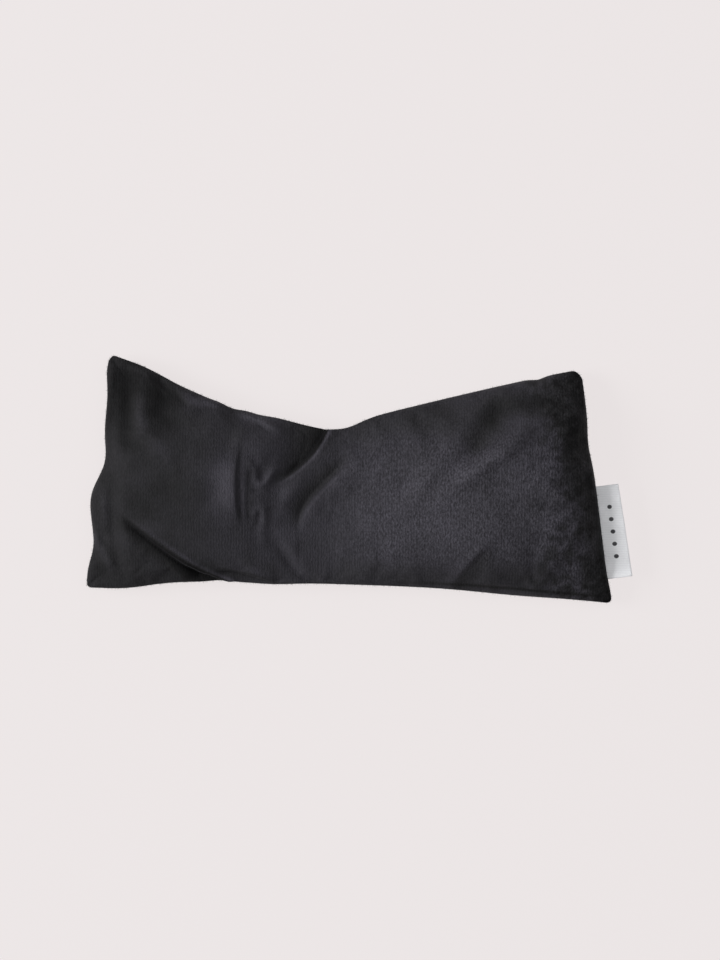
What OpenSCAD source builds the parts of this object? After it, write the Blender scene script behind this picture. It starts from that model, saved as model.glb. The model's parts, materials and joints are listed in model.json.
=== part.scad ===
// Eye pillow: a plush cover with an overlapped opening in its back, an inner pouch, a loose seed
// fill and a folded label sewn into one short seam. It lies on its back panels at z = 0, with +X
// along its length towards the label. The fold line runs along Y through the waist. Each piece of
// fabric that crosses the fold is modelled as a left and a right solid that meet there.

/* [Outline] */
// Length along the lower long seam
pillow_l = 235; // [200:1:260]
// Width of the left end
left_w = 104; // [90:1:120]
// Width of the right end
right_w = 105; // [90:1:120]
// How far the left end leans inwards at its upper corner
left_lean = 11; // [0:0.5:15]
// How far the right end leans inwards at its upper corner
right_lean = 13; // [0:0.5:15]
// How much lower the right end lies than the left end
end_drop = 7.4; // [0:0.2:10]
// Depth of the waist notch in the upper long seam
waist_dip = 30; // [10:0.5:34]
// How far the lower long seam bows inwards
lower_bow = 4.6; // [0:0.2:8]
// Place of the fold, as a share of the length from the left end
fold_share = 0.454; // [0.4:0.002:0.55]

/* [Thickness] */
// Height of the left lobe
left_h = 24; // [20:0.5:28]
// Height of the right lobe
right_h = 29; // [24:0.5:34]
// Height at the waist
waist_h = 15; // [13:0.5:18]
// Height of the seam along the sides
seam_z = 9; // [7:0.5:10]
// Height of the seam at the four corners
corner_z = 4; // [3:0.5:6]

/* [Cover] */
// Thickness of the plush fabric
plush_t = 1.2; // [0.8:0.1:1.4]
// Place of the outer panel's hem, from the fold line
hem_start = 28; // [20:1:36]
// Overlap of the two back panels
overlap = 36; // [24:1:44]

/* [Pouch and fill] */
// Thickness of the pouch fabric
pouch_t = 0.4; // [0.3:0.05:0.5]
// Width of the cover's seam allowance, which the pouch lies inside
allowance = 6; // [5:0.5:9]
// Clearance between one layer and the next
layer_gap = 0.35; // [0.3:0.05:0.45]

/* [Label] */
// Length of the label along the seam
label_l = 42; // [30:1:50]
// How far the label sticks out of the seam
label_out = 9.5; // [7:0.5:14]
// Thickness of the folded label
label_t = 0.8; // [0.7:0.1:1]
// Place of the label's middle, as a share of the right end from its lower corner
label_share = 0.3; // [0.28:0.01:0.7]

/* [Hidden] */

plush_black = "#2b292f";
thread_black = "#16151a";
calico = "#d9cfba";
thread_cream = "#efe6d2";
flax_brown = "#8a5a34";
label_grey = "#cdced2";

// The label's lean and how far it reaches past the pillow's lower right corner
label_lean = atan(right_lean / right_w);
label_reach = label_out * cos(label_lean) + label_l / 2 * sin(label_lean) - right_lean * label_share;
total_l = pillow_l + label_reach;

// The four corners of the sewn outline, with the whole object's box centred on the origin
lower_left = [-total_l / 2, -(left_w - end_drop) / 2];
upper_left = lower_left + [left_lean, left_w];
lower_right = lower_left + [pillow_l, -end_drop];
upper_right = lower_right + [-right_lean, right_w];
half_l = pillow_l / 2;
half_w = left_w / 2;
fold_u = 2 * fold_share - 1;

// Powers of the outline's curves: the upper seam's slope right of the waist, and the lower seam's bow
slope_power = 1.1;
bow_power = 3;

// Powers of the seam's droop at the corners and of the crown along and across the pillow, with how
// round each of the two is near the seam
corner_power = 16;
crown_l = [5, 0.6];
crown_w = [2.6, 0.65];

// Share of each side of the fold over which the waist swells into a lobe
swell_share = 0.62;

// How soon, going in from the seam, the back lies flat and the layers reach their full depth
flat_rate = 1.9;
depth_rate = 2;

// Length over which the inner back panel rises onto the outer one
rise_l = 7;

// Half the gap between the left and right solids at the fold, as a share of half the length
fold_half = 0.003;

// Fineness of the surfaces, in cells
cells_l = 14;
cells_w = 14;

// Half the gap between the two layers of a seam, and the thread that lies in it
seam_gap = 0.5;
thread_w = 0.5;
thread_t = 0.22;
thread_bottom = -0.25;
edge_step = 0.08;

// The thread of the two hems: its height, its clearance over the panel, its place in the hem and
// the share of the panel's width that it reaches across
hem_thread_t = 0.2;
hem_thread_z = 0.05;
hem_w = 9;
hem_reach = 0.9;

// The surfaces of the layers. Each has its distance in from the outline, its depth below the
// outside of the pillow, and its depth at its own edge.
DEEPER = [1, 1, 0];
COVER_OUT = [0, 0, 0];
COVER_IN = DEEPER * plush_t;
POUCH_OUT = [allowance, 0, 0] + DEEPER * (plush_t + layer_gap);
POUCH_IN = POUCH_OUT + DEEPER * pouch_t + [0, 0, edge_step];
FILL_OUT = POUCH_IN + DEEPER * layer_gap + [0, 0, edge_step];

// The shown part of the label starts just outside the seam. A slit parts its two layers. The part
// in the seam has its own thickness, its distance inside the outline and its height over the seam.
tab_start = 1.1;
fold_slit = 0.1;
tail_t = 0.2;
tail_out = 0.2;
tail_z = 0.02;

function mix(a, b, t) = a + (b - a) * t;
function smooth(t) = let (c = max(0, min(1, t))) c * c * (3 - 2 * c);

// Depth of the upper seam's waist: a soft rise from the left, a straight slope to the right
function waist_shape(s) =
    s < fold_share ? sin(90 * s / fold_share) : pow((1 - s) / (1 - fold_share), slope_power);
function bow_shape(s) = 1 - pow(abs(2 * s - 1), bow_power);

// Place in the plane of a point at u along the length and v across the width, both -1 to 1
function place(u, v) =
    let (s = (u + 1) / 2, t = (v + 1) / 2)
    mix(mix(lower_left, lower_right, s), mix(upper_left, upper_right, s), t)
        + [0, (1 - t) * lower_bow * bow_shape(s) - t * waist_dip * waist_shape(s)];

// Height of the seam's surface, carried on through the inside
function seam_height(u, v) = mix(seam_z, corner_z, pow(abs(u * v), corner_power));

// How full the pillow is at a point: 0 at the seam, 1 in the middle
function crown(t, powers) = pow(1 - pow(abs(t), powers[0]), powers[1]);
function fullness(u, v) = crown(u, crown_l) * crown(v, crown_w);

// Height of the lobes along the length
function lobe_height(u) =
    let (left = (fold_u - u) / (fold_u + 1), right = (u - fold_u) / (1 - fold_u))
    u < fold_u ? mix(waist_h, left_h, smooth(left / swell_share))
               : mix(waist_h, right_h, smooth(right / swell_share));

// The place that u and v stand for on a layer whose edge lies e in from the outline
function drawn_in(u, v, e) = [u * (1 - e / half_l), v * (1 - e / half_w)];

// The inner back panel, and what lies on it, rises where the outer back panel passes under it
function u_at(x_from_fold) = fold_u + x_from_fold / half_l;
inner_end = u_at(hem_start + overlap);
function rise(u) =
    let (up = (u - u_at(hem_start - rise_l)) * half_l / rise_l, down = (u - inner_end) * half_l / rise_l)
    (plush_t + layer_gap) * (smooth(up) - smooth(down));

// How deep a layer lies below the outer faces: layer[2] at its edge, and layer[1] further in
function depth(f, layer) = mix(layer[2], layer[1], min(1, depth_rate * f));

// A point of the front or back of the pillow, on the surface of a layer
function front_point(u, v, layer) =
    let (q = drawn_in(u, v, layer[0]), f = fullness(u, v), z = seam_height(q[0], q[1]) + seam_gap)
    concat(place(q[0], q[1]), z + (lobe_height(q[0]) - z) * f - depth(f, layer));
function back_point(u, v, layer) =
    let (q = drawn_in(u, v, layer[0]), f = fullness(u, v), z = seam_height(q[0], q[1]) - seam_gap)
    concat(place(q[0], q[1]), z * (1 - min(1, flat_rate * f)) + depth(f, layer));
function raised_point(u, v, layer) =
    back_point(u, v, layer + DEEPER * rise(drawn_in(u, v, layer[0])[0]));

// Steps of u and v. They are closer together near the seams, where the surface is steepest.
function span(a, b, n) = [for (i = [0:n]) mix(a, b, i / n)];
function eased(v) = sin(90 * v);
function across() = [for (v = span(-1, 1, cells_w)) eased(v)];
function along_left() =
    let (w = fold_u - fold_half)
    [for (t = span(0, 1, cells_l)) mix(-1, w, 1 - cos(90 * t))];
function along_right() =
    let (w = fold_u + fold_half)
    [for (t = span(0, 1, cells_l)) mix(w, 1, sin(90 * t))];

// A closed solid between two grids of points that have n rows of m points each. The upper grid
// comes first.
module solid_between(upper, lower, n, m) {
    k = n * m;
    polyhedron(
        points = concat(upper, lower),
        faces = concat(
            [for (i = [0:n - 2], j = [0:m - 2]) each
                let (a = i * m + j, b = a + 1, c = a + m + 1, d = a + m)
                [[a, b, c], [a, c, d], [k + a, k + c, k + b], [k + a, k + d, k + c]]],
            [for (i = [0:n - 2]) each
                let (a = i * m, b = a + m, c = a + m - 1, d = c + m)
                [[a, b, k + b], [a, k + b, k + a], [c, k + d, d], [c, k + c, k + d]]],
            [for (j = [0:m - 2]) each
                let (a = j, b = j + 1, c = (n - 1) * m + j, d = c + 1)
                [[a, k + b, b], [a, k + a, k + b], [c, d, k + d], [c, k + d, k + c]]]
        )
    );
}

// A sheet of fabric in the front or the back of the pillow, between two layers
module front_sheet(us, outer, inner) {
    vs = across();
    solid_between(
        [for (u = us, v = vs) front_point(u, v, outer)],
        [for (u = us, v = vs) front_point(u, v, inner)],
        len(us), len(vs)
    );
}
module back_sheet(us, outer, inner) {
    vs = across();
    solid_between(
        [for (u = us, v = vs) raised_point(u, v, inner)],
        [for (u = us, v = vs) raised_point(u, v, outer)],
        len(us), len(vs)
    );
}

// A run of thread in a seam, along a list of places. It lies e in from the outline.
function seam_point(q) = concat(place(q[0], q[1]), seam_height(q[0], q[1]) + thread_bottom);
module thread(path, e) {
    n = len(path);
    function ring(p) =
        let (
            outer = seam_point(drawn_in(p[0], p[1], e - thread_w / 2)),
            inner = seam_point(drawn_in(p[0], p[1], e + thread_w / 2)),
            up = [0, 0, thread_t]
        )
        [outer + up, inner + up, inner, outer];
    polyhedron(
        points = [for (p = path) each ring(p)],
        faces = concat(
            [for (i = [0:n - 2], j = [0:3]) each
                let (a = 4 * i + j, b = 4 * i + (j + 1) % 4)
                [[a, b + 4, a + 4], [a, b, b + 4]]],
            [[0, 2, 1], [0, 3, 2]],
            [[4 * n - 1, 4 * n - 3, 4 * n - 2], [4 * n - 1, 4 * n - 4, 4 * n - 3]]
        )
    );
}

// The run of a seam, from the fold round one end and back to the fold
function right_rim() =
    let (us = along_right(), vs = across(), m = len(us) - 1)
    concat(
        [for (i = [0:m - 1]) [us[i], -1]],
        [for (v = vs) [1, v]],
        [for (i = [m - 1:-1:0]) [us[i], 1]]
    );
function left_rim() =
    let (us = along_left(), vs = across(), m = len(us) - 1, n = len(vs) - 1)
    concat(
        [for (i = [m:-1:1]) [us[i], 1]],
        [for (j = [n:-1:0]) [-1, vs[j]]],
        [for (i = [1:m]) [us[i], -1]]
    );

// The thread of a hem, across the pillow on the inside of the panel it holds
module hem_thread_at(u, layer) {
    vs = span(-hem_reach, hem_reach, cells_w);
    step = thread_w / half_l;
    solid_between(
        [for (w = [u, u + step], v = vs) back_point(w, v, layer) + [0, 0, hem_thread_t]],
        [for (w = [u, u + step], v = vs) back_point(w, v, layer)],
        2, len(vs)
    );
}

// Things that lie in the right seam at the label: x points out of the seam and y along it
module at_label() {
    translate(concat(mix(lower_right, upper_right, label_share), seam_z))
        rotate([0, 0, label_lean]) children();
}

module cover_front_left() { color(plush_black) front_sheet(along_left(), COVER_OUT, COVER_IN); }
module cover_front_right() { color(plush_black) front_sheet(along_right(), COVER_OUT, COVER_IN); }

// The inner back panel reaches from the left end across the fold to its hem
module cover_back_inner_left() { color(plush_black) back_sheet(along_left(), COVER_OUT, COVER_IN); }
module cover_back_inner_right() {
    color(plush_black) back_sheet(span(fold_u + fold_half, inner_end, cells_l), COVER_OUT, COVER_IN);
}

// The outer back panel reaches from its hem, which is nearer the fold, to the right end
module cover_back_outer() {
    vs = across();
    us = [for (t = span(0, 1, cells_l)) mix(u_at(hem_start), 1, sin(90 * t))];
    color(plush_black) solid_between(
        [for (u = us, v = vs) back_point(u, v, COVER_IN)],
        [for (u = us, v = vs) back_point(u, v, COVER_OUT)],
        len(us), len(vs)
    );
}

module cover_seam_thread_left() { color(thread_black) thread(left_rim(), plush_t / 2); }
module cover_seam_thread_right() { color(thread_black) thread(right_rim(), plush_t / 2); }

// Each hem's thread lies in the clearance over the panel it holds
module inner_hem_thread() {
    raised = COVER_IN + DEEPER * rise(inner_end) + [0, hem_thread_z, 0];
    color(thread_black) hem_thread_at(u_at(hem_start + overlap - hem_w), raised);
}
module outer_hem_thread() {
    color(thread_black) hem_thread_at(u_at(hem_start + hem_w), COVER_IN + [0, hem_thread_z, 0]);
}

module pouch_front_left() { color(calico) front_sheet(along_left(), POUCH_OUT, POUCH_IN); }
module pouch_front_right() { color(calico) front_sheet(along_right(), POUCH_OUT, POUCH_IN); }
module pouch_back_left() { color(calico) back_sheet(along_left(), POUCH_OUT, POUCH_IN); }
module pouch_back_right() { color(calico) back_sheet(along_right(), POUCH_OUT, POUCH_IN); }
module pouch_seam_thread_left() { color(thread_cream) thread(left_rim(), POUCH_OUT[0] + pouch_t / 2); }
module pouch_seam_thread_right() { color(thread_cream) thread(right_rim(), POUCH_OUT[0] + pouch_t / 2); }

// Loose seed, one closed solid in each half
module seed_fill(us) {
    vs = across();
    color(flax_brown) solid_between(
        [for (u = us, v = vs) front_point(u, v, FILL_OUT)],
        [for (u = us, v = vs) raised_point(u, v, FILL_OUT)],
        len(us), len(vs)
    );
}
module seed_fill_left() { seed_fill(along_left()); }
module seed_fill_right() { seed_fill(along_right()); }

// The end of the label that is sewn into the seam
module label_tail() {
    color(label_grey) at_label()
        translate([-allowance, -label_l / 2, tail_z]) cube([allowance - tail_out, label_l, tail_t]);
}

// The part of the label that shows: a ribbon folded double, with the fold at its outer edge
module side_label() {
    r = label_t / 2;
    flat_l = label_out - r - tab_start;
    color(label_grey) at_label() translate([tab_start, label_l / 2, 0]) rotate([90, 0, 0])
        linear_extrude(label_l) difference() {
            union() {
                translate([0, -r]) square([flat_l, label_t]);
                translate([flat_l, 0]) circle(r, $fn = 32);
            }
            translate([-fold_slit, -fold_slit / 2]) square([flat_l, fold_slit]);
        }
}

cover_front_left();
cover_front_right();
cover_back_inner_left();
cover_back_inner_right();
cover_back_outer();
cover_seam_thread_left();
cover_seam_thread_right();
inner_hem_thread();
outer_hem_thread();
pouch_front_left();
pouch_front_right();
pouch_back_left();
pouch_back_right();
pouch_seam_thread_left();
pouch_seam_thread_right();
seed_fill_left();
seed_fill_right();
label_tail();
side_label();
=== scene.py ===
"""Looks of the eye pillow: a plush cover with a pinched waist, its inner pouch and seed, and a label.

Shapes are worked out in millimetres in the CAD frame and turned into metres as each mesh is made.
The pillow lies on z = 0 with +X towards the label, and bends at the fold line that the joint gives.
"""
import json
import math

import bmesh
import bpy
import numpy as np
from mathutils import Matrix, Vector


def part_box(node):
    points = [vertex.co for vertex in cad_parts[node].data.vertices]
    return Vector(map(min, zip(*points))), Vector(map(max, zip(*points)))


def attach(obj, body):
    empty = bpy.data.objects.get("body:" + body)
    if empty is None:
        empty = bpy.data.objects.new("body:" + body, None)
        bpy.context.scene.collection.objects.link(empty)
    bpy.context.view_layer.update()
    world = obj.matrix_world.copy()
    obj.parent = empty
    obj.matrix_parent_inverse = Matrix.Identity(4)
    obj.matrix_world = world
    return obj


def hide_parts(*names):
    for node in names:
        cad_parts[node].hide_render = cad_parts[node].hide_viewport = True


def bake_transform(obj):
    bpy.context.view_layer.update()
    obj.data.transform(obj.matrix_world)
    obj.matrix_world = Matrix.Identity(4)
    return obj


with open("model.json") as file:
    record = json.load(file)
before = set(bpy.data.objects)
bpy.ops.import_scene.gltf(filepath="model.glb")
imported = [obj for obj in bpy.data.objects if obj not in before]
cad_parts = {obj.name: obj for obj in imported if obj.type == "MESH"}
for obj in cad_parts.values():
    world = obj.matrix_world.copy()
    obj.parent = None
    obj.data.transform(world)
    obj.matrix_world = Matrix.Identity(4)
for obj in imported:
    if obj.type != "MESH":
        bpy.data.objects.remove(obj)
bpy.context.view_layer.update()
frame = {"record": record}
MM = 0.001


# ---------------------------------------------------------------- places taken from the frame
def node_box(name):
    """Lowest and highest corner of a CAD node, in millimetres."""
    return [np.array(corner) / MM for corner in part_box(name)]


def joint(name):
    """A joint's record. Its place is in metres."""
    return next(j for j in frame["record"]["behaviour"]["joints"] if j["name"] == name)


left_lo, left_hi = node_box("cover_front_left")
right_lo, right_hi = node_box("cover_front_right")
# Where the short back panel starts and the long one ends
HEM_X, INNER_END_X = node_box("cover_back_outer")[0][0], node_box("cover_back_inner_right")[1][0]

# The outline's corners. The upper corners lean in by these amounts.
LEFT_LEAN, RIGHT_LEAN = 11.0, 13.0
LOWER_LEFT = np.array([left_lo[0], left_lo[1]])
UPPER_LEFT = np.array([left_lo[0] + LEFT_LEAN, left_hi[1]])
LOWER_RIGHT = np.array([right_hi[0], right_lo[1]])
UPPER_RIGHT = np.array([right_hi[0] - RIGHT_LEAN, right_hi[1]])
HALF_L = (LOWER_RIGHT[0] - LOWER_LEFT[0]) / 2
HALF_W = (UPPER_LEFT[1] - LOWER_LEFT[1]) / 2
FOLD_X = joint("fold")["pos_m"][0] / MM
FOLD_SHARE = (FOLD_X - LOWER_LEFT[0]) / (2 * HALF_L)
FOLD_U = 2 * FOLD_SHARE - 1

# The seams' bows and heights. The corners droop a little less than in the CAD model.
WAIST_DIP, LOWER_BOW = 30.0, 4.6
SEAM_Z, CORNER_Z = joint("label_flex")["pos_m"][2] / MM, 6.0
LEFT_H, RIGHT_H, WAIST_H = 24.0, 29.0, 15.0

# Radius of the outline's corners: lower left, upper left, lower right, upper right
CORNER_R = (2.2, 3.6, 2.8, 5.2)
# How far in from the outline that rounding fades
ROUNDING_REACH = 4.0

# Powers that shape the notch's slope, the lower seam's bow, the corners' droop, and the crown along
# and across
SLOPE_POWER, BOW_POWER, CORNER_POWER = 1.1, 3, 7
CROWN_L, CROWN_W = (8, 0.6), (2.8, 0.65)

# The share of a lobe's length over which it swells, and how soon the back lies flat
SWELL_SHARE, FLAT_RATE = 0.62, 1.25

# The cover's cloth: the radius of its rolled edge, half the gap between the faces at the seam, how
# far the seam's allowances reach in, and the thickness of the front, the long and the short back panel
ROLL, SEAM_GAP = 1.3, 0.35
FRONT_TUCK, BACK_TUCK = 3.5, 3.0
FRONT_T, INNER_T, OUTER_T = 0.9, 0.8, 0.7
OUTER_ROLL = 0.8 * ROLL

# The lip that shuts the seam: its height, and where it peaks and ends as shares of the allowance
LIP, LIP_PEAK, LIP_END = 2 * SEAM_GAP - 0.05, 0.27, 0.55

# Near a corner the allowance is clipped and the cloth is pressed thin: the share that stays there, and
# the distances from the corner over which it grows back to the whole
CLIPPED, CLIP_REACH = 0.15, 12
PRESSED, PRESS_START, PRESS_REACH = 0.12, 8, 16

# The overlap of the back panels: how far the long one is raised, over what length, and a hem's width
RISE, RISE_L, HEM_W = 2.6, 9.0, 9.0

# The pouch: the radius of its rolled edge, its seam allowance and its thickness. Then how far the pouch
# and the fill lie in from the cover's edge and from its faces.
EDGE_ROLL, POUCH_TUCK, POUCH_T = 0.6, 1.5, 0.35
POUCH_IN, POUCH_DEPTH = 7.5, 1.5
FILL_IN, FILL_DEPTH = 8.6, 2.9

# Stitches: pitch, length and radius, and how far in the seam threads run from their edges
SEAM_STITCH, HEM_STITCH, POUCH_STITCH = (3.2, 2.7, 0.22), (3.2, 2.6, 0.24), (2.6, 2.1, 0.18)
THREAD_IN, POUCH_THREAD_IN = 3.2, 1.2

# The label: its length, how far it stands out and reaches in, where its hinge lies out of the seam,
# where its bend ends, and half the gap between its layers and their thickness
LABEL_HINGE = np.array(joint("label_flex")["pos_m"]) / MM
LABEL_AXIS = np.array(joint("label_flex")["axis"])
LABEL_L, LABEL_OUT, LABEL_TAIL = 42.0, 9.5, 5.5
HINGE_OUT, LABEL_BEND = 0.8, 2.2
RIBBON_GAP, RIBBON_T = 0.22, 0.22


# ---------------------------------------------------------------- small sums
def mix(a, b, t):
    return a + (b - a) * t


def smooth(t):
    c = np.clip(t, 0, 1)
    return c * c * (3 - 2 * c)


def bell(distance, width):
    return np.exp(-((distance / width) ** 2))


def lattice_noise(x, y, cell, seed):
    """Smooth noise from -1 to 1, with features about one cell wide."""
    size = 96
    lattice = np.random.default_rng(seed).uniform(-1, 1, (size, size))
    i, j = np.floor(x / cell), np.floor(y / cell)
    s, t = smooth(x / cell - i), smooth(y / cell - j)
    i, j = i.astype(int) % size, j.astype(int) % size
    k, m = (i + 1) % size, (j + 1) % size
    return mix(mix(lattice[i, j], lattice[k, j], s), mix(lattice[i, m], lattice[k, m], s), t)


def curve_through(points):
    """Points along a smooth curve through a few given points."""
    steps = 24
    p = np.array([points[0], *points, points[-1]], float)
    out = []
    for a, b, c, d in zip(p, p[1:], p[2:], p[3:]):
        for t in np.linspace(0, 1, steps, endpoint=False):
            out.append(0.5 * (2 * b + (c - a) * t + (2 * a - 5 * b + 4 * c - d) * t**2
                              + (3 * b - a - 3 * c + d) * t**3))
    out.append(p[-1])
    return np.array(out)


# ---------------------------------------------------------------- the pillow's form
def waist_shape(s):
    """Depth of the upper seam's notch: a soft rise from the left, a straight slope to the right."""
    left = np.sin(np.pi / 2 * np.clip(s / FOLD_SHARE, 0, 1))
    right = np.clip((1 - s) / (1 - FOLD_SHARE), 0, 1) ** SLOPE_POWER
    return np.where(s < FOLD_SHARE, left, right)


def rounding(u, v):
    """How far the rounding of the four corners moves a point along and across, towards the middle."""
    from_end, from_side = (1 - np.abs(u)) * HALF_L, (1 - np.abs(v)) * HALF_W
    depth, off = np.minimum(from_end, from_side), np.abs(from_end - from_side)
    at_corner = np.where(u < 0, np.where(v < 0, *CORNER_R[:2]), np.where(v < 0, *CORNER_R[2:]))
    radius = np.maximum(at_corner * np.exp(-depth / ROUNDING_REACH), 1e-3)
    turn = np.pi / 4 * np.clip(1 - off / radius, 0, 1)
    inward = radius * (1 - np.cos(turn))
    back = np.maximum(radius - off - radius * np.sin(turn), 0)
    at_end = from_end < from_side
    return np.where(at_end, inward, back), np.where(at_end, back, inward)


def place(u, v):
    """Place in the plane of a point at u along the length and v across the width, -1 to 1."""
    s, t = ((u + 1) / 2)[..., None], ((v + 1) / 2)[..., None]
    p = mix(mix(LOWER_LEFT, LOWER_RIGHT, s), mix(UPPER_LEFT, UPPER_RIGHT, s), t)
    bow = LOWER_BOW * (1 - np.abs(2 * s - 1) ** BOW_POWER)
    p[..., 1] += ((1 - t) * bow - t * WAIST_DIP * waist_shape(s))[..., 0]
    along, across = rounding(u, v)
    p[..., 0] -= np.sign(u) * along
    p[..., 1] -= np.sign(v) * across
    return p


def seam_height(u, v):
    return mix(SEAM_Z, CORNER_Z, np.abs(u * v) ** CORNER_POWER)


def fullness(u, v):
    """0 at the seam, 1 in the middle."""
    (along, soft_l), (across, soft_w) = CROWN_L, CROWN_W
    return (1 - np.abs(u) ** along) ** soft_l * (1 - np.abs(v) ** across) ** soft_w


def lobe_height(u):
    """Height of the crown, from the waist to the two lobes."""
    left, right = (FOLD_U - u) / (FOLD_U + 1), (u - FOLD_U) / (1 - FOLD_U)
    return np.where(u < FOLD_U, mix(WAIST_H, LEFT_H, smooth(left / SWELL_SHARE)),
                    mix(WAIST_H, RIGHT_H, smooth(right / SWELL_SHARE)))


def drawn_in(u, v, e):
    """The place of u and v on a layer whose edge lies e in from the cover's."""
    return u * (1 - e / HALF_L), v * (1 - e / HALF_W)


def u_at(x):
    """u of a line across the pillow, at x on the lower seam."""
    return (x - LOWER_LEFT[0]) / HALF_L - 1
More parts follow.
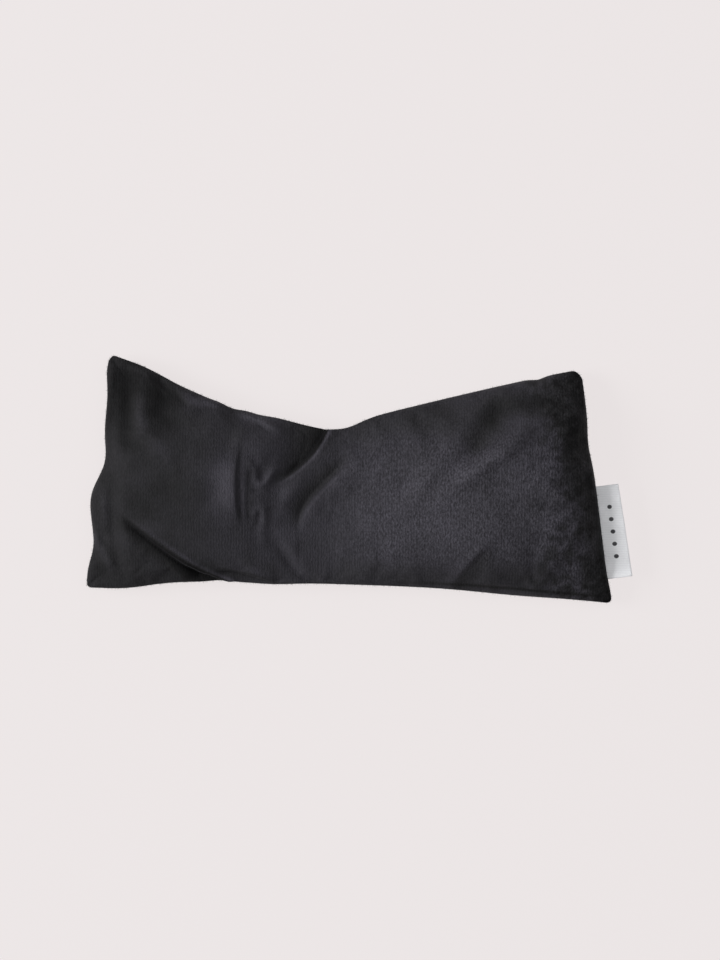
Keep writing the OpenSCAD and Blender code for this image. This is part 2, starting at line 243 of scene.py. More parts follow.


# Folds of the plush, each along a few points. A step has the side to the left of the run standing
# over the other: its rise and width, then its drop and width. A bell is a soft ridge or hollow:
# how far it lies to the left of the run, its width and its height. Edge is how wide the step's own
# slope is, lean how far its edge hangs over, and peak how rounded its crest is, from 1 for sharp to 2.
# Crest is how bright the highlight painted along a step's crest is and how wide that line is. Nap adds
# lines of painted highlight and painted shade: how far to the left of the run, the width and how much.
# Grow is how its size changes from start to end, and fade the shares of the run over which it starts
# and ends.
FOLDS = {
    "waist_overlap": dict(
        run=[(-12, 25), (-16, 17), (-20, 11), (-25.5, 5.5), (-31, 1), (-39, -3.5)], step=(1.9, 4.5, 5.2, 9),
        edge=1.4, lean=-1.6, grow=(1.15, 0.35), crest_highlight=(1.0, 0.9), nap_and_painted_light=[(-1.6, 1.8, -0.45)], fade=(0, 0.35)),
    "waist_inner": dict(
        run=[(-1, 11), (-8, 4), (-14, -2), (-20, -8), (-24.5, -15), (-27, -25)], step=(1.8, 6, 2.2, 4.5),
        edge=3.6, crest_highlight=(0.22, 2.6), bells=[(-9, 3.2, 0.9)], nap_and_painted_light=[(-3, 2.6, -0.3)], fade=(0.3, 0.3)),
    "left_dent": dict(
        run=[(-52, -22), (-54, -13), (-54.5, -4), (-54.3, 4), (-52.5, 16)], step=(1.7, 8.0, 0.8, 1.4),
        edge=1.8, peak=1.2, crest_highlight=(0.3, 4.5), nap_and_painted_light=[(-2.4, 1.1, 0.35)], fade=(0.35, 0.35)),
    "dent_strip": dict(
        run=[(-49, -24), (-50.2, -12), (-50, -4), (-49, 4), (-46, 12)], step=(0.3, 2, 0.5, 3), edge=2.4,
        crest_highlight=(0.05, 1), fade=(0.3, 0.5)),
    "crumple_star": dict(
        run=[(-48, 0), (-43, -2), (-39, 2), (-35, 7)], bells=[(0, 1.9, 1.0), (4, 3, -0.6)],
        nap_and_painted_light=[(0, 1.6, 0.35)]),
    "crumple_knot": dict(
        run=[(-48, -15), (-44, -13.5), (-42, -17), (-42.5, -27), (-40, -35)],
        bells=[(0, 2.1, 0.6), (-3.4, 2.2, -0.5)], nap_and_painted_light=[(0, 2, 0.12)], fade=(0.1, 0.6)),
    "crumple_short": dict(run=[(-50, 8), (-46.5, 4), (-45.5, -3)], bells=[(0, 1.2, 0.5), (2.4, 1.6, -0.4)]),
    "left_long": dict(
        run=[(-108, -14), (-98, -21.5), (-90, -27.5), (-80, -34.5), (-70, -40.5), (-58, -46)],
        step=(1.8, 4.5, 6.0, 6), edge=1.7, lean=-1.8, grow=(0.35, 1.1), crest_highlight=(0.75, 1.1),
        nap_and_painted_light=[(-3.2, 3, -0.4)], fade=(0.25, 0)),
    "lower_flat": dict(
        run=[(-64, -39.6), (-55, -41), (-46, -42.8), (-34, -46.5)], step=(0.5, 4, 2.2, 3.5), edge=1.4,
        lean=-0.6, crest_highlight=(0.12, 2), fade=(0.2, 0.3)),
    "waist_lower": dict(
        run=[(-37, -25), (-34, -32), (-29, -38.5), (-25.5, -43), (-18, -47)],
        bells=[(0, 2.2, -1.4), (4.5, 4, 0.7), (-4.5, 4, 0.4)], fade=(0.4, 0)),
    "corner_valley": dict(
        run=[(-105, 52), (-103.5, 36), (-101.5, 21), (-103, 4)], bells=[(0, 3.8, -1.3)], fade=(0.05, 0.5)),
    "corner_ridge": dict(
        run=[(-98, 48), (-97.5, 34), (-96.5, 25), (-91, 16), (-84, 9), (-76, 3)], bells=[(0, 4.2, 1.3)],
        nap_and_painted_light=[(0, 3.5, 0.2)], fade=(0.3, 0.35)),
    "corner_hollow": dict(
        run=[(-88, 47), (-88.5, 38), (-86, 29), (-76, 22), (-66, 18)], bells=[(0, 5, -1.7)],
        fade=(0.05, 0.5)),
    "shoulder_roll": dict(
        run=[(-84, 42), (-77, 35), (-70, 32.5), (-60, 32)], step=(0, 3, 0.8, 3), edge=2.2,
        bells=[(3.4, 3, 1.0)], crest_highlight=(0.2, 3), fade=(0.3, 0.2)),
    "notch_streak": dict(
        run=[(-54, 30), (-46, 27.5), (-40, 24), (-33, 20.5)],
        bells=[(0, 1.5, 1.1), (-3, 2, -0.6), (-11, 7, 1.6)], nap_and_painted_light=[(0, 1.3, 0.25)], fade=(0.2, 0.35)),
    "left_swell": dict(run=[(-84, -6), (-74, -4), (-66, -9)], bells=[(0, 7, 0.8)]),
    "end_valley": dict(
        run=[(-108, 4), (-109.5, -12), (-109.2, -24), (-107, -38)], bells=[(0, 2.8, -1.2), (4.5, 3, 0.4)],
        fade=(0.35, 0.35)),
    "end_branch": dict(run=[(-108, -15), (-104, -23), (-98, -30)], bells=[(0, 2.3, 0.8)]),
    "end_crease": dict(
        run=[(-121, -24), (-118, -27), (-114.5, -32), (-111.5, -38), (-109, -45)], bells=[(0, 2.2, 1.2)],
        nap_and_painted_light=[(-0.4, 2.2, 0.4)], fade=(0, 0.3)),
    "end_swell": dict(
        run=[(-114, -2), (-113.5, -9), (-113, -16), (-112, -23)], bells=[(0, 2.2, 0.7)], nap_and_painted_light=[(0, 2, 0.3)]),
    "right_ridge": dict(run=[(18, -20), (27, -6), (34, 4), (43, 15)], bells=[(0, 3.8, 1.6)]),
    "right_sweep": dict(
        run=[(26, -18), (42, -4), (50, 2), (58, 8), (66, 12.5), (75, 21), (90, 34)], bells=[(0, 3.8, 2.5)],
        nap_and_painted_light=[(0, 3, 0.12)], fade=(0.35, 0.4)),
    "right_furrow": dict(
        run=[(40, -3), (50, 10), (54.5, 18), (59, 26), (68, 36)], bells=[(-0.5, 5.5, -2.8)],
        nap_and_painted_light=[(0, 4.5, -0.12)], fade=(0.4, 0.2)),
    "right_shade": dict(run=[(60, 30), (71, 31), (82, 34), (90, 38)], bells=[(0, 4, -1.2)]),
    "right_hollow": dict(run=[(18, 14), (17.5, 4), (20, -10)], bells=[(0, 4, -0.7)], nap_and_painted_light=[(0, 4, -0.1)]),
    "lower_crease": dict(
        run=[(42, -49), (48, -40.5), (54, -33.5), (60, -27)], step=(0.5, 3.5, 1.0, 8), edge=3.4,
        crest_highlight=(0.12, 2.5), nap_and_painted_light=[(-3.5, 4, -0.2)], fade=(0, 0.35)),
    "lower_second": dict(run=[(60, -40), (61, -33), (63, -26)], bells=[(0, 1.8, -0.6)]),
    "lower_soft": dict(
        run=[(2, -48), (6, -40), (12, -30)], bells=[(0, 3.4, 0.5), (-6, 5, -0.6)], fade=(0, 0.4)),
    "lower_shade": dict(run=[(61, -43), (72, -44), (84, -48)], bells=[(0, 4, -1.3)]),
    "right_dent": dict(
        run=[(106, 18), (98, 16), (90, 12)], bells=[(0, 2.3, -2.4), (-6, 3, 0.8)], fade=(0, 0.3)),
    "right_lift": dict(run=[(97, 32), (95, 25), (91, 19)], bells=[(0, 3, 1.0)]),
    "top_roll": dict(
        run=[(76, 47), (82, 42.5), (95, 40)], step=(0.3, 3, 0.6, 3), edge=2, crest_highlight=(0, 1), fade=(0, 0.3)),
    "seam_roll": dict(
        run=[(10, -46.1), (40, -47.0), (60, -48.3), (80, -50.1), (100, -51.9), (110, -52.9)],
        bells=[(1, 0.8, 0.45)], nap_and_painted_light=[(0, 0.6, -0.9)], fade=(0.3, 0.05)),
}

# How much painted shade darkens the pile per millimetre that a step drops, how a step's low side flattens
# out, and where and how widely its edge leans over
SHADE, HOLLOW_POWER = 0.20, 1.3
LEAN_AT, LEAN_W = 1.2, 3

# Where the outline itself is pushed: place, push and reach
PUSHES = [
    ((-115, 8), (2.2, 0), 10), ((-121, -8), (-3.2, 0), 12), ((-120, -30), (0.8, 0), 7),
    ((-121, -42), (-0.9, 0), 8), ((-95, 46), (0.4, 2.2), 17), ((-70, 37), (0, 1.4), 14),
    ((-37, 24), (0, 2.2), 14), ((-5, 24), (0, -2.2), 9), ((101, 15), (-1.2, 0), 9),
    ((-61, 36), (0, 1.0), 5), ((-50, 31), (0.3, 1.0), 5), ((81, 45), (0, -0.9), 3.5),
    ((70, -52), (0, -0.8), 25), ((-105, -48), (0, -1.9), 15), ((-62, -45), (0, 0.7), 6),
    ((-38, -46), (0, -0.8), 12), ((-112, 49), (-1.7, 0), 9), ((80, -51), (0, -0.6), 40),
    ((113, -53), (0.9, 0), 8),
]


def pushed(p):
    """The plane with the outline's own bumps and hollows."""
    out = p.copy()
    for middle, push, reach in PUSHES:
        out += bell(np.hypot(p[..., 0] - middle[0], p[..., 1] - middle[1]), reach)[..., None] * push
    return out


def beside(p, line):
    """For each point, how far it lies to the left of a line, how far past its ends, where along,
    and which way left is there."""
    along = np.gradient(line, axis=0)
    along /= np.linalg.norm(along, axis=1)[:, None]
    near = np.argmin(((p[:, None] - line) ** 2).sum(-1), -1)
    gap, ahead = p - line[near], along[near]
    left = np.stack([-ahead[:, 1], ahead[:, 0]], 1)
    return (gap * left).sum(-1), np.abs((gap * ahead).sum(-1)), near / (len(line) - 1), left


def fold_offsets(p):
    """How far the folds move points of the front, up and sideways, and the light and shade painted on them:
    over 0 for a painted highlight, as on a step's crest, and under 0 for painted shade, as in a step's
    hollow."""
    reach = 26
    up, side, pile_and_painted_light = np.zeros(p.shape[:-1]), np.zeros(p.shape), np.zeros(p.shape[:-1])
    for fold in FOLDS.values():
        line = curve_through(fold["run"])
        close = np.all((p > line.min(0) - reach) & (p < line.max(0) + reach), -1)
        across, past_end, share, left = beside(p[close], line)
        size = mix(*fold.get("grow", (1, 1)), share)
        fade_in, fade_out = fold.get("fade", (0.35, 0.35))
        taper = smooth(share / max(fade_in, 1e-6) + (fade_in == 0))
        taper *= smooth((1 - share) / max(fade_out, 1e-6) + (fade_out == 0)) * bell(past_end, 3)
        rises = 0 * across
        if "step" in fold:
            rise, rise_w, drop, drop_w = fold["step"]
            over = smooth(across / fold["edge"] + 0.5)
            low = -drop * size * np.exp(-np.abs(across / (drop_w * size)) ** HOLLOW_POWER)
            high = rise * size * np.exp(-np.abs(across / (rise_w * size)) ** fold.get("peak", 2))
            rises = mix(low, high, over)
            light, wide = fold.get("crest_highlight", (0.25, 2.0))
            crest_highlight = light * over * size * bell(across - 0.7 * wide, wide)
            # Painted shade in the step's hollow, and a painted highlight along its crest
            pile_and_painted_light[close] += taper * (SHADE * (1 - over) * low + crest_highlight)
        # Lines of painted highlight and painted shade along the fold
        for offset, width, lighter in fold.get("nap_and_painted_light", []):
            pile_and_painted_light[close] += taper * lighter * bell(across - offset, width)
        for offset, width, height in fold.get("bells", []):
            rises = rises + height * size * bell(across - offset * size, width * size)
        up[close] += taper * rises
        lean = taper * fold.get("lean", 0) * size * bell(across - LEAN_AT, LEAN_W)
        side[close] += lean[:, None] * left
    return up, side, pile_and_painted_light


def wrinkles(x, y, u, v):
    """Small slack wrinkles: more of them at the waist and along the seams than on the full lobes."""
    slack = 0.2 + 0.8 * bell(x + 38, 20) + 0.4 * smooth((np.abs(v) - 0.7) / 0.3)
    bent = 5 * lattice_noise(x, y, 26, 3)
    fine = lattice_noise(x * 1.4 + bent, y * 0.8, 7, 5) + 0.5 * lattice_noise(x + bent, y, 3.6, 6)
    broad = lattice_noise(x, y + bent, 19, 8)
    gathers = lattice_noise(x, y, 5, 9) * smooth((np.maximum(np.abs(u), np.abs(v)) - 0.85) / 0.15)
    crumple = lattice_noise(x, y, 2.6, 10) * bell(x + 45, 6) * bell(y + 9, 15)
    return slack * (0.22 * fine + 0.45 * broad) + 0.3 * gathers + 0.45 * crumple


# ---------------------------------------------------------------- cloth simulation
CLOTH_CELLS = (116, 54)
CLOTH_GROWTH = 0.05
CLOTH_FRAMES = 20
CLOTH_CAP = 3.5


def simulated_offsets(points, name):
    """How a slack panel held at its seam moves when the fill presses on it, on the cloth's grid.

    points is the grid before the simulation. The cloth is cut larger than the space it covers, so
    it puckers. No point moves further than the cap."""
    rows, cols = points.shape[:2]
    obj = new_mesh(name, points.reshape(-1, 3), grid_faces(rows, cols))
    held = obj.vertex_groups.new(name="held")
    held.add([int(i) for i in border(rows, cols)], 1.0, "REPLACE")
    cloth = obj.modifiers.new("cloth", "CLOTH")
    settings = cloth.settings
    settings.quality = 6
    settings.mass = 0.15
    settings.tension_stiffness = settings.compression_stiffness = 12
    settings.shear_stiffness = 5
    settings.bending_stiffness = 0.12
    settings.air_damping = 4
    settings.vertex_group_mass = "held"
    settings.use_pressure = True
    settings.uniform_pressure_force = 4
    settings.shrink_min = -CLOTH_GROWTH
    settings.effector_weights.gravity = 0
    cloth.collision_settings.use_collision = False
    cloth.collision_settings.use_self_collision = False
    for step in range(1, CLOTH_FRAMES + 1):
        bpy.context.scene.frame_set(step)
    graph = bpy.context.evaluated_depsgraph_get()
    relaxed = np.empty(rows * cols * 3)
    obj.evaluated_get(graph).data.vertices.foreach_get("co", relaxed)
    bpy.context.scene.frame_set(1)
    bpy.data.meshes.remove(obj.data)
    moved = relaxed.reshape(points.shape) / MM - points
    far = np.linalg.norm(moved, axis=-1, keepdims=True)
    return moved * np.tanh(far / CLOTH_CAP) * CLOTH_CAP / np.maximum(far, 1e-9)


def grid_sample(values, u, v):
    """Values on an even grid over u and v from -1 to 1, read smoothly at any u and v."""
    rows, cols = values.shape[:2]
    a, b = (u + 1) / 2 * (rows - 1), (v + 1) / 2 * (cols - 1)
    i, j = np.floor(a).astype(int), np.floor(b).astype(int)
    total = np.zeros(u.shape + values.shape[2:])

    def weights(t):
        return [(-t + 2 * t**2 - t**3) / 2, (2 - 5 * t**2 + 3 * t**3) / 2,
                (t + 4 * t**2 - 3 * t**3) / 2, (-(t**2) + t**3) / 2]

    for k, wa in enumerate(weights(a - i)):
        for m, wb in enumerate(weights(b - j)):
            r, c = np.clip(i + k - 1, 0, rows - 1), np.clip(j + m - 1, 0, cols - 1)
            total += values[r, c] * (wa * wb)[..., None]
    return total


# ---------------------------------------------------------------- meshes
def new_mesh(name, points, faces):
    mesh = bpy.data.meshes.new(name)
    mesh.from_pydata((np.asarray(points) * MM).tolist(), [], [tuple(map(int, f)) for f in faces])
    mesh.validate()
    mesh.polygons.foreach_set("use_smooth", [True] * len(mesh.polygons))
    obj = bpy.data.objects.new(name, mesh)
    bpy.context.scene.collection.objects.link(obj)
    return obj


def grid_faces(rows, cols):
    a = np.arange((rows - 1) * cols).reshape(rows - 1, cols)[:, :-1].ravel()
    return np.stack([a, a + cols, a + cols + 1, a + 1], 1)


def border(rows, cols):
    """The grid's border vertices in order, counter-clockwise seen from above."""
    index = np.arange(rows * cols).reshape(rows, cols)
    return np.concatenate([index[:-1, 0], index[-1, :-1], index[:0:-1, -1], index[0, :0:-1]])


def apply_modifiers(obj):
    """Turns the object's modifiers into plain mesh."""
    graph = bpy.context.evaluated_depsgraph_get()
    mesh = bpy.data.meshes.new_from_object(obj.evaluated_get(graph))
    old, mesh_name = obj.data, obj.name
    obj.modifiers.clear()
    obj.data = mesh
    bpy.data.meshes.remove(old)
    mesh.name = mesh_name
    return obj


def thicken(obj, thickness, shares=None):
    """Gives a sheet its thickness, on the inner side, or each of its points its own share of it."""
    solid = obj.modifiers.new("thickness", "SOLIDIFY")
    solid.thickness = thickness * MM
    solid.offset = -1
    if shares is not None:
        group = obj.vertex_groups.new(name="thickness")
        for i, share in enumerate(shares):
            group.add([i], float(share), "REPLACE")
        solid.vertex_group = group.name
    apply_modifiers(obj)
    obj.vertex_groups.clear()
    return obj


def outward(edge):
    """The direction out of a closed loop in the plane, at each of its points."""
    ahead = np.roll(edge, -2, 0) - np.roll(edge, 2, 0)
    out = np.stack([ahead[:, 1], -ahead[:, 0], np.zeros(len(edge))], 1)
    for _ in range(3):
        out = out + np.roll(out, 1, 0) + np.roll(out, -1, 0)
    return out / np.linalg.norm(out, axis=1)[:, None]


def free_seam(edge):
    """1 along the seam, and 0 along a hem and where the label's tail lies between the two faces."""
    hem_top, rise = 3, 1.2
    in_seam = smooth((edge[:, 2] - hem_top) / rise)
    past_tail = smooth((np.abs(edge[:, 1] - LABEL_HINGE[1]) - LABEL_L / 2 - 0.5) / 2)
    return in_seam * np.where(edge[:, 0] > 0, past_tail, 1)


def sewn_sheet(name, grid, radius, tuck, thickness, back=False, lip=0):
    """A panel from a grid of points, with its edge rolled round and tucked in at the seam. The part
    that is tucked in is clipped short at the corners. Its lip, outside the thread, shuts the seam."""
    rows, cols = grid.shape[:2]
    points, faces, loop = grid.reshape(-1, 3), grid_faces(rows, cols), border(rows, cols)
    edge = points[loop]
    corners = grid[[0, -1, -1, 0], [0, 0, -1, -1]]
    to_corner = np.linalg.norm(edge[:, None] - corners, axis=-1).min(1)
    tuck = tuck * mix(CLIPPED, 1, smooth(to_corner / CLIP_REACH))[:, None]
    out, turn = outward(edge), 1 if back else -1
    rings = [edge - out * radius * (1 - math.cos(a)) + np.array([0, 0, turn * radius * math.sin(a)])
             for a in np.radians([22, 45, 67, 90])]
    shut = np.array([0, 0, turn * lip]) * free_seam(edge)[:, None]
    inner = rings[-1]
    rings += [inner - out * tuck * share + shut * raised
              for share, raised in ([(LIP_PEAK, 1), (LIP_END, 0), (1, 0)] if lip else [(1, 0)])]
    last = loop
    for ring in rings:
        now = len(points) + np.arange(len(loop))
        faces = np.concatenate([faces, np.stack([last, now, np.roll(now, -1), np.roll(last, -1)], 1)])
        points, last = np.concatenate([points, ring]), now
    obj = new_mesh(name, points, faces[:, ::-1] if back else faces)
    # At the tight corners the cloth is pressed thin, or its inner side would come through its outer side
    from_corner = np.linalg.norm(points[:, None, :2] - corners[..., :2], axis=-1).min(1)
    return thicken(obj, thickness, mix(PRESSED, 1, smooth((from_corner - PRESS_START) / PRESS_REACH)))


# ---------------------------------------------------------------- surfaces of the layers
def cover_base(u, v):
    """The front's height before it slackens and folds."""
    base = seam_height(u, v) + SEAM_GAP + ROLL
    return base + (lobe_height(u) - base) * fullness(u, v)


def back_base(u, v):
    """The back's height: flat on the table, rising softly to the seam."""
    base = seam_height(u, v) - SEAM_GAP - ROLL
    return base * (1 - smooth(FLAT_RATE * fullness(u, v)))


def coarse_grid(height):
    """A face as the cloth simulation starts with it, on even steps of u and v."""
    u, v = np.meshgrid(*(np.linspace(-1, 1, n + 1) for n in CLOTH_CELLS), indexing="ij")
    p = place(u, v)
    z = height(u, v) + 0.4 * lattice_noise(p[..., 0], p[..., 1], 9, 12) * smooth(fullness(u, v) / 0.3)
    return np.concatenate([pushed(p), z[..., None]], -1)


# The share of the simulated slack that each face keeps
FRONT_SLACK, BACK_SLACK = 0.45, 0.7
front_slack = FRONT_SLACK * simulated_offsets(coarse_grid(cover_base), "front_cloth")
back_slack = BACK_SLACK * simulated_offsets(coarse_grid(back_base), "back_cloth")


def front_surface(u, v):
    """The outside of the front: the crown, the cloth's slack, the folds and the small wrinkles."""
    p = pushed(place(u, v))
    held = smooth(fullness(u, v) / 0.26)
    up, side, _ = fold_offsets(p)
    z = cover_base(u, v) + held * (up + wrinkles(p[..., 0], p[..., 1], u, v))
    points = np.concatenate([p + held[..., None] * side, z[..., None]], -1) + grid_sample(front_slack, u, v)
    # No fold goes deeper than the two faces lying on each other
    points[..., 2] = np.maximum(points[..., 2], seam_height(u, v) + SEAM_GAP + ROLL + 0.5 * held)
    return points


def back_surface(u, v):
    """The outside of the back. It lies flat where the table bears it, with pressed creases."""
    p = pushed(place(u, v))
    x, y = p[..., 0], p[..., 1]
    bent = 6 * lattice_noise(x, y, 24, 21)
    crease = 1 - np.abs(lattice_noise(x + bent, y - bent, 16, 22)) / 0.16
    soft = 0.35 * (1 + lattice_noise(x, y, 11, 23))
    z = back_base(u, v) + smooth(fullness(u, v) / 0.3) * (0.9 * smooth(crease) + soft)
    slack = grid_sample(back_slack, u, v) * smooth(fullness(u, v) / 0.25)[..., None]
    points = np.concatenate([p, z[..., None]], -1) + slack
    points[..., 2] = np.maximum(points[..., 2], 0)
    return points


def overlap_rise(x):
    """How far what lies on the outer back panel is raised."""
    return RISE * (smooth((x - HEM_X + RISE_L) / RISE_L) - smooth((x - INNER_END_X) / RISE_L))


def grid_uv(us, nv):
    """A grid of u and v. The steps of v are closer together near the seams."""
    t = np.linspace(-1, 1, nv + 1)
    return np.meshgrid(us, mix(t, np.sin(np.pi / 2 * t), 0.5), indexing="ij")


def even_u(low, high, step):
    """Even steps of u, each about as many millimetres long as step says."""
    return np.linspace(low, high, round((high - low) * HALF_L / step))


def front_grid():
    """The front's points, closer together on the creased left than on the smooth right."""
    creased = u_at(6)
    u = np.concatenate([even_u(-1, creased, 0.68), even_u(creased, 1, 1.0)[1:]])
    return front_surface(*grid_uv(u, 134))


def inner_panel_grid():
    """The long back panel, from the left end over the fold to its hem above the outer panel."""
    u, v = grid_uv(even_u(-1, u_at(INNER_END_X), 0.95), 108)
    rise = overlap_rise(place(u, v)[..., 0])
    qu, qv = drawn_in(u, v, rise)
    points = back_surface(qu, qv)
    inside = fullness(u, v)
    # Where it is drawn in over the outer panel its edge still reaches up to the seam
    to_seam = (back_base(u, v) - back_base(qu, qv)) * (1 - smooth(inside / 0.3))
    points[..., 2] += rise * smooth(inside / 0.4) + to_seam
    return points


def outer_panel_grid():
    """The short back panel, from its hem to the right end, drawn in along its line of stitches."""
    u, v = grid_uv(even_u(u_at(HEM_X), 1, 0.95), 108)
    points = back_surface(u, v)
    stitched = bell(points[..., 0] - (HEM_X + HEM_W), 1.3)
    points[..., 2] += 0.8 * stitched * smooth(fullness(u, v) / 0.3)
    return points


front, inner_panel, outer_panel = front_grid(), inner_panel_grid(), outer_panel_grid()

# The layers inside the cover follow the nearest parts of its two faces
MAP_CELL = 1.0
MAP_LOW = np.array([LOWER_LEFT[0] - 8, LOWER_RIGHT[1] - 8])
MAP_SIZE = (250, 128)


def nearest_part(grids, reach, inward):
    """A map of a face's lowest points within reach when inward is -1, or its highest when it is 1."""
    points = np.concatenate([grid.reshape(-1, 3) for grid in grids])
    cells = np.clip(np.round((points[:, :2] - MAP_LOW) / MAP_CELL).astype(int), 0, np.array(MAP_SIZE) - 1)
    heights = np.full(MAP_SIZE, -np.inf)
    np.maximum.at(heights, (cells[:, 0], cells[:, 1]), inward * points[:, 2])
    span = range(-reach, reach + 1)
    heights = np.max([np.roll(heights, (i, j), (0, 1)) for i in span for j in span
                      if math.hypot(i, j) <= reach + 0.5], axis=0)
    heights[np.isinf(heights)] = inward * SEAM_Z
    for _ in range(3):
        heights = np.mean([np.roll(heights, (i, j), (0, 1)) for i in (-1, 0, 1) for j in (-1, 0, 1)], axis=0)
    return inward * heights


front_map = nearest_part([front], 4, -1)
back_map = nearest_part([inner_panel, outer_panel], 3, 1)


def read_map(heights, p):
    """A map's heights at places in the plane."""
    share = (p - MAP_LOW) / (MAP_CELL * (np.array(MAP_SIZE) - 1))
    return grid_sample(heights[..., None], 2 * share[..., 0] - 1, 2 * share[..., 1] - 1)[..., 0]


def layer(u, v, e, depth, top):
    """One face of a layer inside the cover: its edge lies e in from the cover's, and its middle at
    least depth inside the nearest part of the cover's face."""
    qu, qv = drawn_in(u, v, e)
    p = pushed(place(qu, qv))
    if top:
        edge = seam_height(qu, qv) + SEAM_GAP + EDGE_ROLL
        own = edge + (lobe_height(qu) - edge) * fullness(u, v)
        z = np.maximum(np.minimum(own, read_map(front_map, p) - depth), edge)
    else:
        edge = seam_height(qu, qv) - SEAM_GAP - EDGE_ROLL
        own = edge * (1 - smooth(FLAT_RATE * fullness(u, v)))
        z = np.minimum(np.maximum(own, read_map(back_map, p) + depth), edge)
    return np.concatenate([p, z[..., None]], -1)


# Fibre tips along the edge: their length and radius
FIBRE_L, FIBRE_R = 1.1, 0.07


def with_fuzz(obj, grid, count, seed):
    """Adds the tips of the pile that stand out along a sheet's edge: small closed cones, base first."""
    rows, cols = grid.shape[:2]
    edge = grid.reshape(-1, 3)[border(rows, cols)]
    out = outward(edge)
    rng = np.random.default_rng(seed)
    place_on, share = rng.integers(0, len(edge), count), rng.uniform(0, 1, (count, 1))
    after = (place_on + 1) % len(edge)
    fall = rng.uniform(0, 1.3, (count, 1))
    up = np.array([0, 0, 1.0])
    ahead = out[place_on] * np.cos(fall) + up * np.sin(fall)
    # Each fibre is rooted in the rolled edge, below the panel's border
    root = mix(edge[place_on], edge[after], share) - 0.45 * out[place_on] - 0.25 * up
    sideways = np.cross(out[place_on], up)
    length = FIBRE_L * rng.uniform(0.6, 1.35, (count, 1))
    tip = root + length * ahead + 0.5 * length * rng.uniform(-1, 1, (count, 1)) * sideways
    corners = [root + FIBRE_R * (math.cos(a) * sideways + math.sin(a) * up) for a in (0.0, 2.1, 4.2)]
    cones = np.stack([*corners, tip], 1).reshape(-1, 3)
    first = 4 * np.arange(count)[:, None, None]
    faces = (np.array([[0, 2, 1], [0, 1, 3], [1, 2, 3], [2, 0, 3]]) + first).reshape(-1, 3)
    fuzz = new_mesh(obj.name + "_fuzz", cones, faces)
    joined = bmesh.new()
    joined.from_mesh(obj.data)
    joined.from_mesh(fuzz.data)
    joined.to_mesh(obj.data)
    joined.free()
    bpy.data.meshes.remove(fuzz.data)
    return obj


# How light the pile lies, partly its own nap and partly painted highlights and painted shade on bumps,
# ridges, furrows, corners and ends: place, reach along X and Y, and how much lighter or darker
BRUSHED_AND_PAINTED = [
    ((-92, 0), (36, 80), -0.44), ((44, -8), (48, 30), 0.30), ((-107, 44), (13, 20), -0.42),
    ((-118, -10), (9, 60), -0.22), ((-112, -38), (14, 12), -0.08), ((-104, 32), (3, 18), -0.15),
    ((-97, 32), (3, 13), 0.15), ((-87, 37), (7, 9), -0.36), ((-90, 14), (6, 5), 0.12),
    ((-92, -22), (6, 3), 0.2), ((-72, -41), (10, 4), -0.2), ((-69, 34), (9, 4), 0.35),
    ((-61, -3), (5.5, 14), 0.50), ((-44, 0), (5, 28), 0.14), ((-42, 17), (8, 8), 0.25),
    ((-45, 27), (8, 2.5), 0.4), ((-33, -6), (6, 5), 0.3), ((-35, -28), (8, 9), 0.16),
    ((-22, 15), (7, 7), -0.30), ((-18, 19), (4, 4), -0.3), ((53, 15), (5, 6), -0.35),
    ((59, 25), (6, 7), -0.42), ((70, 33), (13, 6), -0.5), ((50, 2), (7, 4), 0.25), ((60, 9), (7, 4), 0.28),
    ((28, -4), (5, 6), 0.2), ((80, -8), (12, 16), 0.2), ((88, 32), (10, 18), -0.5),
    ((98, 16), (6, 4), -0.3), ((72, 26), (7, 4), 0.12), ((85, 25), (8, 5), 0.2), ((74, -46), (22, 6), -0.3),
    ((20, -44), (60, 8), -0.25), ((15, 26), (42, 12), -0.36),
]


def brush_and_paint_pile(obj, folded=False):
    """Stores on each vertex how light the pile lies there, with painted highlights and painted shade, and how
    much its tufts stand out. Its painted shade is darkest where the right end turns down."""
    xyz = np.empty(len(obj.data.vertices) * 3)
    obj.data.vertices.foreach_get("co", xyz)
    p = xyz.reshape(-1, 3)[:, :2] / MM
    x, y = p[:, 0], p[:, 1]
    lie_and_light = 1 + 0.09 * lattice_noise(x, y, 14, 51) + 0.05 * lattice_noise(x, y, 5, 53)
    for (at_x, at_y), (reach_x, reach_y), change in BRUSHED_AND_PAINTED:
        lie_and_light += change * np.exp(-(((x - at_x) / reach_x) ** 2) - ((y - at_y) / reach_y) ** 2)
    # The painted highlights and painted shade of the folds
    if folded:
        lie_and_light *= np.exp(fold_offsets(p)[2])
    end = mix(LOWER_RIGHT[0], UPPER_RIGHT[0], (y - LOWER_RIGHT[1]) / (UPPER_RIGHT[1] - LOWER_RIGHT[1]))
    ragged = 2.5 * lattice_noise(x, y, 8, 52) + 1.8 * lattice_noise(x, y, 3, 54)
    clumps = lattice_noise(x, y, 2.2, 55) + 0.6 * lattice_noise(x, y, 4.5, 56)
    lie_and_light *= 1 + 0.45 * clumps * smooth((x - 66) / 26)
    # Painted shade darkens the pile in two steps: where the end turns down, and again at the very edge
    from_end = end - x + ragged
    turned, turn_w, turned_shade = 8.5 + 8 * bell(y - 2, 17), 11, 0.48
    edge_w, edge_shade = 6, 0.5
    lie_and_light *= mix(turned_shade, 1, smooth((from_end - turned) / turn_w + 0.5))
    lie_and_light *= mix(edge_shade, 1, smooth(from_end / edge_w))
    for name, values in (("nap_and_painted_light", np.clip(lie_and_light, 0, 2.2)), ("tuft", tuft_strength(x, y))):
        stored = obj.data.attributes.new(name, "FLOAT", "POINT")
        stored.data.foreach_set("value", values)
    return obj


